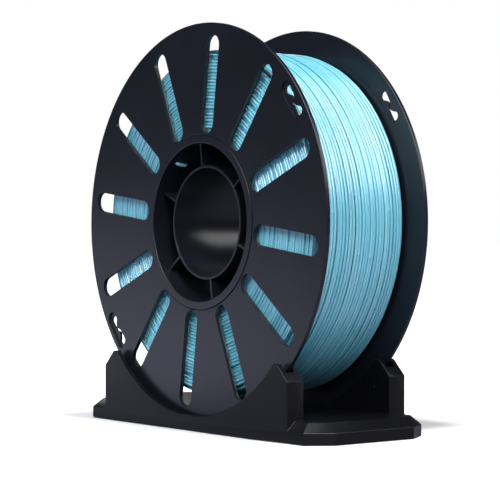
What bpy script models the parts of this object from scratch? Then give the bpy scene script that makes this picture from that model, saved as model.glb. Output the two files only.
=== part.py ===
"""Desktop spool holder stand, loaded with a filament spool that turns on four small ball bearings.

Metres, +Z up. X runs along the stand, Y is the spool's axis with the front flange at -Y, and the
origin is on the ground under the spool's centre.
"""
import math

import bmesh
import bpy
from mathutils import Matrix

# ---- spool -------------------------------------------------------------------------------------
SPOOL_RADIUS = 0.100
SPOOL_WIDTH = 0.0644
SPOOL_AXIS_HEIGHT = 0.1046
FLANGE_THICKNESS = 0.0022
HUB_OPENING_RADIUS = 0.0398
COLLAR_RADIUS = 0.0438
COLLAR_THICKNESS = 0.0012
COLLAR_STAND_OUT = 0.0004
BARREL_RADIUS = 0.0420
BARREL_LAP_RADIUS = 0.0408
BARREL_LAP_LENGTH = 0.0030
BORE_RADIUS = 0.0275
BORE_TUBE_WALL = 0.0013
BORE_TUBE_RECESS = 0.0048
RIB_COUNT = 6
RIB_THICKNESS = 0.0012
RIB_PHASE = math.radians(37.2)
SLOT_COUNT = 12
SLOT_PHASE = math.radians(22.5)
SLOT_WIDTH = 0.0108
SLOT_INNER_RADIUS = 0.0445
SLOT_OUTER_RADIUS = 0.0943
CLIPS = ((math.radians(37.5), -1), (math.radians(217.5), 1))
CLIP_RADIUS = 0.0935
CLIP_LENGTH = 0.0220
CLIP_WIDTH = 0.0080
CLIP_RECESS_DEPTH = 0.0010
CLIP_LOBE_RADIUS = 0.0023
CLIP_LOBE_PLACE = 0.0064
CLIP_SLIT_WIDTH = 0.0016
CLIP_SLIT_SWING = 0.0013
CLIP_SLIT_BEND = 0.0013
CLIP_NECK_PLACE = 0.0020
CLIP_STEPS = 8

# ---- filament winding --------------------------------------------------------------------------
WINDING_RADIUS = 0.0874
WINDING_HALF_WIDTH = 0.0294
WINDING_FLAT_HALF_WIDTH = 0.0250
WINDING_SHOULDER_RADIUS = 0.0855
WINDING_SHOULDER_HALF_WIDTH = 0.0275
WINDING_SIDE_RADIUS = 0.0700

# ---- bearings: 3 mm bore, 10 mm outside, 4 mm wide ----------------------------------------------
BEARING_ANGLE = math.radians(40.0)
BEARING_RADIUS = 0.0050
BEARING_WIDTH = 0.0040
BEARING_OUTER_WALL = 0.0007
BEARING_BORE_RADIUS = 0.0016
BEARING_INNER_RADIUS = 0.00235
BALL_COUNT = 7
BALL_RADIUS = 0.00075
CAGE_WIDTH = 0.0012
CAGE_WALL = 0.0005
SHIELD_THICKNESS = 0.0003
PIN_RADIUS = 0.0015

# ---- stand ---------------------------------------------------------------------------------------
BASE_HALF_LENGTH = 0.0979
BASE_HALF_WIDTH = 0.0372
BASE_CORNER_X = 0.0895
BASE_CORNER_Y = 0.0244
BASE_SIDE_TOP = 0.0062
BASE_TOP = 0.0107
BASE_CHAMFER_INSET = 0.0050
UNDERSIDE_HEIGHT = 0.0004
CHEEK_HALF_LENGTH = 0.0774
CHEEK_THICKNESS = 0.0102
CHEEK_SHOULDER_HEIGHT = 0.0292
CREST_HALF_LENGTH = 0.0695
CREST_HEIGHT = 0.0371
LIP_ARC_RADIUS = 0.0912
LIP_ARC_HEIGHT = 0.0990
RIM_SLOT_WIDTH = 0.0050
RIM_SLOT_INNER_LIP = 0.0021
RIM_SLOT_RADIUS = 0.1020
POCKET_HALF_WIDTH = 0.0056
BOSS_RADIUS = 0.0022
BOSS_HEIGHT = 0.0004
PIN_END_WALL = 0.0011
FOOT_RADIUS = 0.0060
FOOT_HEIGHT = 0.0016
FOOT_X = 0.0800
FOOT_Y = 0.0210

# ---- gaps between touching pieces, and roundness ------------------------------------------------
GAP = 0.0003
FINE_GAP = 0.0001
OVERSHOOT = 0.0020
OVERLAP = 0.0004
SPOOL_SEGMENTS = 72
TUBE_SEGMENTS = 48
ROLLER_SEGMENTS = 16
PIN_SEGMENTS = 12
SLOT_END_SEGMENTS = 5
FOOT_SEGMENTS = 20
SHARP_ANGLE = math.radians(30)

SIDES = (("front", -1), ("rear", 1))
ENDS = (("left", -1), ("right", 1))


# ---- materials -----------------------------------------------------------------------------------
def plain_material(name, colour, roughness, metallic=0.0):
    """A Principled BSDF with one colour, roughness and metallic value."""
    material = bpy.data.materials.new(name)
    material.use_nodes = True
    shader = material.node_tree.nodes["Principled BSDF"]
    shader.inputs["Base Color"].default_value = (*colour, 1.0)
    shader.inputs["Roughness"].default_value = roughness
    shader.inputs["Metallic"].default_value = metallic
    return material


# ---- mesh helpers ----------------------------------------------------------------------------------
def add_object(name, shape, material=None, parent=None, origin=(0.0, 0.0, 0.0)):
    """Link a bmesh as a named object whose origin is at the given world point."""
    bmesh.ops.translate(shape, verts=shape.verts, vec=[-value for value in origin])
    bmesh.ops.recalc_face_normals(shape, faces=shape.faces)
    mesh = bpy.data.meshes.new(name)
    shape.to_mesh(mesh)
    shape.free()
    piece = bpy.data.objects.new(name, mesh)
    bpy.context.scene.collection.objects.link(piece)
    piece.location = origin
    if material:
        mesh.materials.append(material)
    if parent:
        piece.parent = parent
        piece.matrix_parent_inverse = Matrix.Translation(parent.location).inverted()
    return piece


def add_axis(name, origin):
    """An empty on a joint's axis, which the moving pieces hang from."""
    axis = bpy.data.objects.new(name, None)
    bpy.context.scene.collection.objects.link(axis)
    axis.location = origin
    return axis


def cut_or_join(piece, tool, operation):
    """Add an exact Boolean, and hide the tool object."""
    tool.hide_render = True
    tool.display_type = "WIRE"
    modifier = piece.modifiers.new(tool.name, "BOOLEAN")
    modifier.operation = operation
    modifier.solver = "EXACT"
    modifier.object = tool


def shade(piece):
    """Smooth the round stretches and keep the corners sharp."""
    piece.data.shade_smooth()
    piece.data.set_sharp_from_angle(angle=SHARP_ANGLE)


def add_lathe(shape, profile, centre, segments, start=0.0):
    """Turn a closed (radius, y) profile about the Y axis through centre = (x, z)."""
    rings = []
    for step in range(segments):
        angle = start + 2 * math.pi * step / segments
        across, up = math.cos(angle), math.sin(angle)
        rings.append([shape.verts.new((centre[0] + radius * across, y, centre[1] + radius * up))
                      for radius, y in profile])
    for ring, following in zip(rings, rings[1:] + rings[:1]):
        for corner in range(len(profile)):
            after = (corner + 1) % len(profile)
            shape.faces.new((ring[corner], ring[after], following[after], following[corner]))


def add_prism(shape, outline, y_low, y_high):
    """Extrude an (x, z) outline along Y."""
    low = [shape.verts.new((x, y_low, z)) for x, z in outline]
    high = [shape.verts.new((x, y_high, z)) for x, z in outline]
    shape.faces.new(low)
    shape.faces.new(high)
    for corner in range(len(outline)):
        after = (corner + 1) % len(outline)
        shape.faces.new((low[corner], low[after], high[after], high[corner]))


def circle(centre, radius, segments):
    """An (x, z) circle."""
    angles = (2 * math.pi * step / segments for step in range(segments))
    return [(centre[0] + radius * math.cos(a), centre[1] + radius * math.sin(a)) for a in angles]


def add_disc(shape, centre, radius, y_low, y_high, segments):
    """A solid cylinder along Y."""
    add_prism(shape, circle(centre, radius, segments), y_low, y_high)


def obround(middle_radius, angle, length, width, along_radius):
    """A slot outline with round ends, centred at a polar point about the spool's axis."""
    centre = (middle_radius * math.cos(angle), SPOOL_AXIS_HEIGHT + middle_radius * math.sin(angle))
    direction = angle if along_radius else angle + math.pi / 2
    half_run = (length - width) / 2
    outline = []
    for end in (0, 1):
        facing = direction + math.pi * end
        end_x = centre[0] + half_run * math.cos(facing)
        end_z = centre[1] + half_run * math.sin(facing)
        for step in range(SLOT_END_SEGMENTS + 1):
            sweep = facing - math.pi / 2 + math.pi * step / SLOT_END_SEGMENTS
            outline.append((end_x + width / 2 * math.cos(sweep), end_z + width / 2 * math.sin(sweep)))
    return outline


# ---- spool -------------------------------------------------------------------------------------
def spool_depth(side, depth):
    """Y of a plane that lies a depth inside the spool's outer face."""
    return side * (SPOOL_WIDTH / 2 - depth)


def flange_profile(side):
    """A flange as a turned section, with a step round its hole that takes the core's collar."""
    face, back = COLLAR_STAND_OUT, COLLAR_STAND_OUT + FLANGE_THICKNESS
    step = COLLAR_THICKNESS + GAP
    hole, step_radius = BARREL_RADIUS + GAP, COLLAR_RADIUS + GAP
    section = [(step_radius, face), (SPOOL_RADIUS, face), (SPOOL_RADIUS, back), (hole, back),
               (hole, step), (step_radius, step)]
    return [(radius, spool_depth(side, depth)) for radius, depth in section]


def barrel_profile(side, has_spigot):
    """Half of the barrel as a turned section: collar, wall, and a lap joint at the middle."""
    middle = SPOOL_WIDTH / 2 - GAP / 2
    section = [(HUB_OPENING_RADIUS, 0.0), (COLLAR_RADIUS, 0.0), (COLLAR_RADIUS, COLLAR_THICKNESS),
               (BARREL_RADIUS, COLLAR_THICKNESS), (BARREL_RADIUS, middle)]
    if has_spigot:
        section += [(BARREL_LAP_RADIUS, middle), (BARREL_LAP_RADIUS, middle + BARREL_LAP_LENGTH),
                    (HUB_OPENING_RADIUS, middle + BARREL_LAP_LENGTH)]
    else:
        socket = BARREL_LAP_RADIUS + GAP
        floor = middle - BARREL_LAP_LENGTH - GAP
        section += [(socket, middle), (socket, floor), (HUB_OPENING_RADIUS, floor)]
    return [(radius, spool_depth(side, depth)) for radius, depth in section]


def bore_tube_and_ribs(name, side):
    """The bore tube with its ribs out to the barrel, as one solid to join to half of the core."""
    centre = (0.0, SPOOL_AXIS_HEIGHT)
    middle = SPOOL_WIDTH / 2 - GAP / 2
    rib_end = middle - BARREL_LAP_LENGTH - 2 * GAP
    tube_radius = BORE_RADIUS + BORE_TUBE_WALL
    near, far = spool_depth(side, BORE_TUBE_RECESS), spool_depth(side, middle)
    rib_near = spool_depth(side, BORE_TUBE_RECESS + FINE_GAP)
    tube = bmesh.new()
    add_lathe(tube, [(BORE_RADIUS, near), (tube_radius, near), (tube_radius, far), (BORE_RADIUS, far)],
              centre, TUBE_SEGMENTS)
    tube = add_object(name + "_tube", tube)
    ribs = bmesh.new()
    reach = (BORE_RADIUS + BORE_TUBE_WALL / 2, HUB_OPENING_RADIUS + OVERLAP)
    for rib in range(RIB_COUNT):
        angle = RIB_PHASE + 2 * math.pi * rib / RIB_COUNT
        across, up = math.cos(angle), math.sin(angle)
        half = RIB_THICKNESS / 2
        corners = ((reach[0], -half), (reach[1], -half), (reach[1], half), (reach[0], half))
        outline = [(r * across - t * up, SPOOL_AXIS_HEIGHT + r * up + t * across) for r, t in corners]
        add_prism(ribs, outline, rib_near, spool_depth(side, rib_end))
    cut_or_join(tube, add_object(name + "_ribs", ribs), "UNION")
    return tube


def through_flange(side):
    """Two Y planes, one on each side of a flange, for a cutter that goes right through."""
    return (spool_depth(side, -OVERSHOOT),
            spool_depth(side, COLLAR_STAND_OUT + FLANGE_THICKNESS + OVERSHOOT))


def flange_openings(name, side):
    """Cutter for the front flange's radial slots, which show how much filament is left."""
    shape = bmesh.new()
    length = SLOT_OUTER_RADIUS - SLOT_INNER_RADIUS
    middle_radius = (SLOT_OUTER_RADIUS + SLOT_INNER_RADIUS) / 2
    for slot in range(SLOT_COUNT):
        angle = SLOT_PHASE + 2 * math.pi * slot / SLOT_COUNT
        outline = obround(middle_radius, angle, length, SLOT_WIDTH, along_radius=True)
        add_prism(shape, outline, *through_flange(side))
    return add_object(name + "_slots", shape)


def clip_recesses(name, side):
    """Cutter for the shallow recesses round the filament clips."""
    shape = bmesh.new()
    for angle, _ in CLIPS:
        outline = obround(CLIP_RADIUS, angle, CLIP_LENGTH, CLIP_WIDTH, along_radius=False)
        add_prism(shape, outline, spool_depth(side, -OVERSHOOT),
                  spool_depth(side, COLLAR_STAND_OUT + CLIP_RECESS_DEPTH))
    return add_object(name + "_clip_recesses", shape)


def clip_outline(angle, hand):
    """An S-shaped slit that swells into a round lobe at each end, for the filament's loose end."""
    upper, lower = [], []
    for step in range(-CLIP_STEPS, CLIP_STEPS + 1):
        along = CLIP_LOBE_PLACE * step / CLIP_STEPS
        reach = abs(along)
        swing = CLIP_SLIT_SWING * math.tanh(along / CLIP_SLIT_BEND)
        centre = -hand * swing * (1 - (reach / CLIP_LOBE_PLACE) ** 2)
        swell = max(0.0, (reach - CLIP_NECK_PLACE) / (CLIP_LOBE_PLACE - CLIP_NECK_PLACE))
        half = CLIP_SLIT_WIDTH / 2 + (CLIP_LOBE_RADIUS - CLIP_SLIT_WIDTH / 2) * swell
        upper.append((along, centre + half))
        lower.append((along, centre - half))
    caps = [math.pi * step / SLOT_END_SEGMENTS for step in range(1, SLOT_END_SEGMENTS)]
    right = [(CLIP_LOBE_PLACE + CLIP_LOBE_RADIUS * math.sin(a), CLIP_LOBE_RADIUS * math.cos(a)) for a in caps]
    left = [(-along, -outward) for along, outward in right]
    across, up = math.cos(angle), math.sin(angle)
    placed = []
    for tangent, outward in upper + right + lower[::-1] + left:
        radius = CLIP_RADIUS + outward
        placed.append((radius * across - tangent * up,
                       SPOOL_AXIS_HEIGHT + radius * up + tangent * across))
    return placed


def clip_slits(name, side):
    """Cutter for the slits through the flange."""
    shape = bmesh.new()
    for angle, hand in CLIPS:
        add_prism(shape, clip_outline(angle, hand), *through_flange(side))
    return add_object(name + "_clip_slits", shape)


def spool_flange(side_name, side, material, axis):
    """One flange disc with its filament clips; only the front one has sight slots."""
    name = "spool_flange_" + side_name
    shape = bmesh.new()
    add_lathe(shape, flange_profile(side), (0.0, SPOOL_AXIS_HEIGHT), SPOOL_SEGMENTS)
    flange = add_object(name, shape, material, axis, axis.location)
    if side_name == "front":
        cut_or_join(flange, flange_openings(name, side), "DIFFERENCE")
    cut_or_join(flange, clip_recesses(name, side), "DIFFERENCE")
    cut_or_join(flange, clip_slits(name, side), "DIFFERENCE")
    shade(flange)


def spool_core(side_name, side, material, axis):
    """Half of the core: barrel, bore tube and the ribs between them."""
    name = "spool_core_" + side_name
    shape = bmesh.new()
    add_lathe(shape, barrel_profile(side, has_spigot=side > 0), (0.0, SPOOL_AXIS_HEIGHT), TUBE_SEGMENTS)
    core = add_object(name, shape, material, axis, axis.location)
    cut_or_join(core, bore_tube_and_ribs(name, side), "UNION")
    shade(core)


def filament_winding(material, axis):
    """The wound filament as one turned solid with rounded shoulders."""
    half_section = [
        (WINDING_RADIUS, WINDING_FLAT_HALF_WIDTH), (WINDING_SHOULDER_RADIUS, WINDING_SHOULDER_HALF_WIDTH),
        (WINDING_SIDE_RADIUS, WINDING_HALF_WIDTH), (BARREL_RADIUS + GAP, WINDING_HALF_WIDTH)]
    section = [(radius, -y) for radius, y in reversed(half_section)] + half_section
    shape = bmesh.new()
    add_lathe(shape, section, (0.0, SPOOL_AXIS_HEIGHT), SPOOL_SEGMENTS)
    shade(add_object("filament_winding", shape, material, axis, axis.location))


# ---- bearings ----------------------------------------------------------------------------------
def bearing_centre(end, side):
    """World centre of a bearing that carries the rim at BEARING_ANGLE from the lowest point."""
    reach = SPOOL_RADIUS + BEARING_RADIUS + FINE_GAP
    y = side * (BASE_HALF_WIDTH - CHEEK_THICKNESS + RIM_SLOT_INNER_LIP + RIM_SLOT_WIDTH / 2)
    return (end * reach * math.sin(BEARING_ANGLE), y,
            SPOOL_AXIS_HEIGHT - reach * math.cos(BEARING_ANGLE))


def add_ring(shape, centre, inner, outer, width, offset=0.0):
    """A plain ring about the bearing's axis."""
    low, high = centre[1] + offset - width / 2, centre[1] + offset + width / 2
    add_lathe(shape, [(inner, low), (outer, low), (outer, high), (inner, high)],
              (centre[0], centre[2]), ROLLER_SEGMENTS)


def ring_piece(name, centre, inner, outer, width, material, parent, offset=0.0):
    """A plain ring as a named object."""
    shape = bmesh.new()
    add_ring(shape, centre, inner, outer, width, offset)
    piece = add_object(name, shape, material, parent, centre)
    shade(piece)
    return piece


def ball_cage(name, centre, material, parent):
    """A cage ring with the balls held in it."""
    pitch = (BEARING_INNER_RADIUS + BEARING_RADIUS - BEARING_OUTER_WALL) / 2
    cage = ring_piece(name, centre, pitch - CAGE_WALL / 2, pitch + CAGE_WALL / 2, CAGE_WIDTH,
                      material, parent)
    balls = bmesh.new()
    for ball in range(BALL_COUNT):
        angle = 2 * math.pi * ball / BALL_COUNT
        place = (centre[0] + pitch * math.cos(angle), centre[1], centre[2] + pitch * math.sin(angle))
        bmesh.ops.create_uvsphere(balls, u_segments=6, v_segments=5, radius=BALL_RADIUS,
                                  matrix=Matrix.Translation(place))
    cut_or_join(cage, add_object(name + "_balls", balls), "UNION")


def bearing(corner, centre, steel, shield_steel):
    """Outer race and shields turn together, the cage turns slower, the inner race stays still."""
    outer_axis = add_axis("bearing_axis_" + corner, centre)
    cage_axis = add_axis("cage_axis_" + corner, centre)
    race_bore = BEARING_RADIUS - BEARING_OUTER_WALL
    ring_piece("bearing_outer_race_" + corner, centre, race_bore, BEARING_RADIUS, BEARING_WIDTH,
               steel, outer_axis)
    ring_piece("bearing_inner_race_" + corner, centre, BEARING_BORE_RADIUS, BEARING_INNER_RADIUS,
               BEARING_WIDTH, steel, None)
    ball_cage("bearing_cage_" + corner, centre, steel, cage_axis)
    shield_place = BEARING_WIDTH / 2 - SHIELD_THICKNESS / 2 - FINE_GAP
    for shield, facing in (("outer", 1), ("inner", -1)):
        toward_outside = facing * math.copysign(1, centre[1])
        ring_piece("bearing_shield_%s_%s" % (shield, corner), centre, BEARING_INNER_RADIUS + FINE_GAP,
                   race_bore - FINE_GAP, SHIELD_THICKNESS, shield_steel, outer_axis,
                   toward_outside * shield_place)


def bearing_pin(corner, centre, side, material):
    """The pin is pushed in from the inner lip and ends blind in the outer lip."""
    inner_face = side * (BASE_HALF_WIDTH - CHEEK_THICKNESS + GAP)
    blind_end = side * (BASE_HALF_WIDTH - PIN_END_WALL - GAP)
    shape = bmesh.new()
    add_disc(shape, (centre[0], centre[2]), PIN_RADIUS, inner_face, blind_end, PIN_SEGMENTS)
    shade(add_object("bearing_pin_" + corner, shape, material, None, centre))


# ---- stand -------------------------------------------------------------------------------------
def base_plate():
    """Eight-sided base with an upright side and a chamfered top edge."""
    quarter = ((BASE_HALF_LENGTH, BASE_CORNER_Y), (BASE_CORNER_X, BASE_HALF_WIDTH))
    signs = ((1, 1), (-1, 1), (-1, -1), (1, -1))
    outline = []
    for x_sign, y_sign in signs:
        corners = quarter if x_sign * y_sign > 0 else quarter[::-1]
        outline += [(x_sign * x, y_sign * y, UNDERSIDE_HEIGHT) for x, y in corners]
    shape = bmesh.new()
    bottom = shape.faces.new([shape.verts.new(corner) for corner in outline])
    extruded = bmesh.ops.extrude_face_region(shape, geom=[bottom], use_keep_orig=True)
    rise = [item for item in extruded["geom"] if isinstance(item, bmesh.types.BMVert)]
    bmesh.ops.translate(shape, verts=rise, vec=(0, 0, BASE_SIDE_TOP - UNDERSIDE_HEIGHT))
    top = [item for item in extruded["geom"] if isinstance(item, bmesh.types.BMFace)]
    bmesh.ops.recalc_face_normals(shape, faces=shape.faces)
    bmesh.ops.inset_region(shape, faces=top, thickness=BASE_CHAMFER_INSET,
                           depth=BASE_TOP - BASE_SIDE_TOP, use_even_offset=True)
    return shape


def cheek_y(side, depth):
    """Y of a plane a depth inward from a cheek's outer face."""
    return side * (BASE_HALF_WIDTH - depth)


def cheeks():
    """The two cheeks as full blocks, flush with the base's sides."""
    outline = [
        (-CHEEK_HALF_LENGTH, BASE_SIDE_TOP / 2), (CHEEK_HALF_LENGTH, BASE_SIDE_TOP / 2),
        (CHEEK_HALF_LENGTH, CHEEK_SHOULDER_HEIGHT), (CREST_HALF_LENGTH, CREST_HEIGHT),
        (-CREST_HALF_LENGTH, CREST_HEIGHT), (-CHEEK_HALF_LENGTH, CHEEK_SHOULDER_HEIGHT)]
    shape = bmesh.new()
    for _, side in SIDES:
        add_prism(shape, outline, cheek_y(side, CHEEK_THICKNESS), cheek_y(side, 0))
    return add_object("cheek_blocks", shape)


def lip_arcs():
    """Cutter for the cheeks' curved top edge."""
    shape = bmesh.new()
    for _, side in SIDES:
        add_disc(shape, (0, LIP_ARC_HEIGHT), LIP_ARC_RADIUS, cheek_y(side, CHEEK_THICKNESS + OVERLAP),
                 cheek_y(side, -OVERSHOOT), SPOOL_SEGMENTS)
    return add_object("lip_arcs", shape)


def slot_span(side):
    """The two Y planes of a rim slot."""
    inner_lip = CHEEK_THICKNESS - RIM_SLOT_INNER_LIP
    return cheek_y(side, inner_lip), cheek_y(side, inner_lip - RIM_SLOT_WIDTH)


def rim_slots():
    """Cutter for the slots that the spool's rims run in."""
    shape = bmesh.new()
    for _, side in SIDES:
        add_disc(shape, (0, SPOOL_AXIS_HEIGHT), RIM_SLOT_RADIUS, *slot_span(side), SPOOL_SEGMENTS)
    return add_object("rim_slots", shape)


def bearing_pockets():
    """Cutter for the pockets that the bearings drop into, open at the top."""
    shape = bmesh.new()
    half_turn = [math.pi * step / PIN_SEGMENTS for step in range(PIN_SEGMENTS + 1)]
    for _, side in SIDES:
        for _, end in ENDS:
            x, _, z = bearing_centre(end, side)
            outline = [(x - POCKET_HALF_WIDTH * math.cos(a), z - POCKET_HALF_WIDTH * math.sin(a))
                       for a in half_turn]
            outline += [(x + POCKET_HALF_WIDTH, CREST_HEIGHT + OVERSHOOT),
                        (x - POCKET_HALF_WIDTH, CREST_HEIGHT + OVERSHOOT)]
            add_prism(shape, outline, *slot_span(side))
    return add_object("bearing_pockets", shape)


def lip_bosses():
    """Low bosses on the slot's walls that hold the bearing's inner race."""
    shape = bmesh.new()
    for _, side in SIDES:
        inner, outer = slot_span(side)
        for _, end in ENDS:
            x, _, z = bearing_centre(end, side)
            for wall, inward in ((inner, side), (outer, -side)):
                add_disc(shape, (x, z), BOSS_RADIUS, wall - inward * BOSS_HEIGHT,
                         wall + inward * BOSS_HEIGHT, PIN_SEGMENTS)
    return add_object("lip_bosses", shape)


def pin_holes():
    """Cutter for the holes: through the inner lip, blind in the outer lip."""
    shape = bmesh.new()
    for _, side in SIDES:
        for _, end in ENDS:
            x, _, z = bearing_centre(end, side)
            add_disc(shape, (x, z), PIN_RADIUS + FINE_GAP, cheek_y(side, CHEEK_THICKNESS + OVERLAP),
                     cheek_y(side, PIN_END_WALL), PIN_SEGMENTS)
    return add_object("pin_holes", shape)


def foot_places():
    """The feet's centres, with a name for each."""
    for side_name, side in SIDES:
        for end_name, end in ENDS:
            yield side_name + "_" + end_name, end * FOOT_X, side * FOOT_Y


def upright_cylinder(shape, x, y, radius, z_low, z_high):
    """A solid cylinder along Z."""
    place = Matrix.Translation((x, y, (z_low + z_high) / 2))
    bmesh.ops.create_cone(shape, cap_ends=True, segments=FOOT_SEGMENTS, radius1=radius, radius2=radius,
                          depth=z_high - z_low, matrix=place)


def foot_recesses():
    """Cutter for the round recesses that the rubber feet are glued into."""
    shape = bmesh.new()
    for _, x, y in foot_places():
        upright_cylinder(shape, x, y, FOOT_RADIUS + GAP, -OVERSHOOT, FOOT_HEIGHT + FINE_GAP)
    return add_object("foot_recesses", shape)


def stand_body(material):
    """The one-piece stand: base plate, two cheeks, rim slots and bearing pockets."""
    body = add_object("stand_body", base_plate(), material)
    cut_or_join(body, cheeks(), "UNION")
    cut_or_join(body, lip_arcs(), "DIFFERENCE")
    cut_or_join(body, rim_slots(), "DIFFERENCE")
    cut_or_join(body, bearing_pockets(), "DIFFERENCE")
    cut_or_join(body, lip_bosses(), "UNION")
    cut_or_join(body, pin_holes(), "DIFFERENCE")
    cut_or_join(body, foot_recesses(), "DIFFERENCE")
    shade(body)


def rubber_feet(material):
    """Four round pads that stand a little proud of the underside."""
    for corner, x, y in foot_places():
        shape = bmesh.new()
        upright_cylinder(shape, x, y, FOOT_RADIUS, 0.0, FOOT_HEIGHT)
        shade(add_object("rubber_foot_" + corner, shape, material, None, (x, y, 0.0)))


def main():
    for leftover in list(bpy.data.objects):
        bpy.data.objects.remove(leftover)
    stand_plastic = plain_material("stand_plastic", (0.016, 0.016, 0.018), 0.62)
    spool_plastic = plain_material("spool_plastic", (0.030, 0.031, 0.040), 0.42)
    filament = plain_material("filament", (0.26, 0.66, 0.78), 0.28)
    bearing_steel = plain_material("bearing_steel", (0.56, 0.57, 0.58), 0.25, 1.0)
    shield_steel = plain_material("shield_steel", (0.48, 0.48, 0.47), 0.38, 1.0)
    pin_steel = plain_material("pin_steel", (0.42, 0.42, 0.44), 0.32, 1.0)
    foot_rubber = plain_material("foot_rubber", (0.020, 0.020, 0.020), 0.85)

    stand_body(stand_plastic)
    rubber_feet(foot_rubber)
    spool_axis = add_axis("spool_axis", (0.0, 0.0, SPOOL_AXIS_HEIGHT))
    for side_name, side in SIDES:
        spool_flange(side_name, side, spool_plastic, spool_axis)
        spool_core(side_name, side, spool_plastic, spool_axis)
    filament_winding(filament, spool_axis)
    for side_name, side in SIDES:
        for end_name, end in ENDS:
            corner = side_name + "_" + end_name
            centre = bearing_centre(end, side)
            bearing(corner, centre, bearing_steel, shield_steel)
            bearing_pin(corner, centre, side, pin_steel)


main()
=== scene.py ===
"""Spool holder stand, loaded with a spool of filament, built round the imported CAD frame.

Metres, +Z up. X runs along the stand, Y is the spool's axis with the front flange at -Y, and the
ground is Z = 0. Every piece keeps its place in its mesh and rides on a CAD body.
"""
import math

import bmesh
import bpy
import numpy as np
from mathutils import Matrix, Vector
from mathutils.geometry import tessellate_polygon


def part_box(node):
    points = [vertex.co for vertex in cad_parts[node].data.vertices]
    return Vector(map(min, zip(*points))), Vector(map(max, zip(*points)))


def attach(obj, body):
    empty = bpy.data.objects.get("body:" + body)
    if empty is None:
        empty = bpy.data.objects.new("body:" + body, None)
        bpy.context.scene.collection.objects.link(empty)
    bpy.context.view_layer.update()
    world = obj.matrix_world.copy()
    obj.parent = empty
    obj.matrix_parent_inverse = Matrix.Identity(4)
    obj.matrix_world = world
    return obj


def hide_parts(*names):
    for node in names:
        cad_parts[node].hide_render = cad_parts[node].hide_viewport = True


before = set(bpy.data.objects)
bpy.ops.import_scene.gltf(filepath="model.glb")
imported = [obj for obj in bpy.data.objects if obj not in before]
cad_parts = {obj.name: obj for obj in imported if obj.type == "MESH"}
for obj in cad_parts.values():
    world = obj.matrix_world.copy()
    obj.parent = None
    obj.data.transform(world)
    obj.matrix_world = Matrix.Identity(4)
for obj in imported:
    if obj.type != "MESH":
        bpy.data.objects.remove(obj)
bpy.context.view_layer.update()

MM = 0.001
TURN = 2 * math.pi
SIDES = (("front", -1), ("rear", 1))
ENDS = ("left", "right")

# ---- places and sizes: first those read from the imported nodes, then the part's own ---------------
flange_low, flange_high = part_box("spool_flange_front")
core_low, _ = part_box("spool_core_front")
winding_low, winding_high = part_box("filament_winding")
AXIS = (flange_low.z + flange_high.z) / 2
RIM = (flange_high.z - flange_low.z) / 2
HALF_WIDTH = -core_low.y
FACE = HALF_WIDTH + flange_low.y
THICKNESS = flange_high.y - flange_low.y
WINDING_RIM = (winding_high.z - winding_low.z) / 2
WINDING_HALF = winding_high.y

OPENING, COLLAR, COLLAR_DEPTH = 39.8 * MM, 43.8 * MM, 1.2 * MM
BARREL, LAP, LAP_LENGTH = 42.0 * MM, 40.8 * MM, 3.0 * MM
BORE, BORE_WALL, BORE_RECESS = 27.5 * MM, 1.3 * MM, 4.8 * MM
GAP = 0.3 * MM
SLOTS, SLOT_PHASE, SLOT_WIDTH = 12, math.radians(22.5), 10.8 * MM
SLOT_IN, SLOT_OUT = 44.5 * MM, 94.3 * MM
CLIP_RADIUS, CLIP_LENGTH, CLIP_WIDTH, CLIP_DEPTH = 93.5 * MM, 22 * MM, 8 * MM, 1.0 * MM
CLIPS = ((math.radians(37.5), -1), (math.radians(217.5), 1))
EDGE_MIDDLE = 0.3        # inset of a rounded edge's middle point, as a share of the edge
RIM_ROUND, SLOT_ROUND, COLLAR_ROUND = 0.5 * MM, 0.3 * MM, 0.15 * MM
CLIP_ROUND, SLIT_ROUND = 0.2 * MM, 0.15 * MM
STRAND = 1.75 * MM
STRAND_RUN, STRAND_CROWN_SHADE = "strand_run", "strand_crown_shade"
FLOOR_BOUNCE = (0.26, 0.265, 0.34, 1)


# ---- meshes --------------------------------------------------------------------------------------
def piece_from(name, points, faces, material, body):
    """A mesh object at the origin from points and faces, smooth, riding on a body."""
    mesh = bpy.data.meshes.new(name)
    mesh.from_pydata(np.asarray(points, float).reshape(-1, 3).tolist(), [], faces)
    mesh.validate()
    mesh.update()
    return finished(bpy.data.objects.new(name, mesh), material, body)


def finished(piece, material, body, corner=38.0):
    """Link a piece, turn its faces outwards, mark edges sharper than corner degrees, and give it
    its material and body."""
    if piece.name not in bpy.context.scene.collection.objects:
        bpy.context.scene.collection.objects.link(piece)
    shape = bmesh.new()
    shape.from_mesh(piece.data)
    bmesh.ops.recalc_face_normals(shape, faces=shape.faces)
    shape.to_mesh(piece.data)
    shape.free()
    piece.data.materials.clear()
    piece.data.materials.append(material)
    piece.data.shade_smooth()
    piece.data.set_sharp_from_angle(angle=math.radians(corner))
    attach(piece, body)
    return piece


def mark_strand(piece, run, crown):
    """Store each point's place along its strand, in turns, and how far it stands out of the
    winding, from 0 in the valley beside the strand to 1 on its crown. The filament material
    paints shade where this second value is low."""
    for label, values in ((STRAND_RUN, run), (STRAND_CROWN_SHADE, crown)):
        layer = piece.data.attributes.new(label, "FLOAT", "POINT")
        layer.data.foreach_set("value", np.ascontiguousarray(values, dtype=np.float32).reshape(-1))


def flat_normals(piece):
    """Keep large flat faces flat beside their rounded edges."""
    weighted = piece.modifiers.new("flat_faces", "WEIGHTED_NORMAL")
    weighted.keep_sharp = True
    return piece


def grid_faces(rows, columns, close_rows, close_columns, start=0):
    """Quads of a grid whose point (row, column) is number start + row * columns + column."""
    row = np.arange(rows if close_rows else rows - 1)[:, None]
    column = np.arange(columns if close_columns else columns - 1)[None, :]
    here, right = row * columns + column, row * columns + (column + 1) % columns
    below = (row + 1) % rows * columns + column
    across = (row + 1) % rows * columns + (column + 1) % columns
    return (np.stack([here, right, across, below], -1).reshape(-1, 4) + start).tolist()


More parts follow.
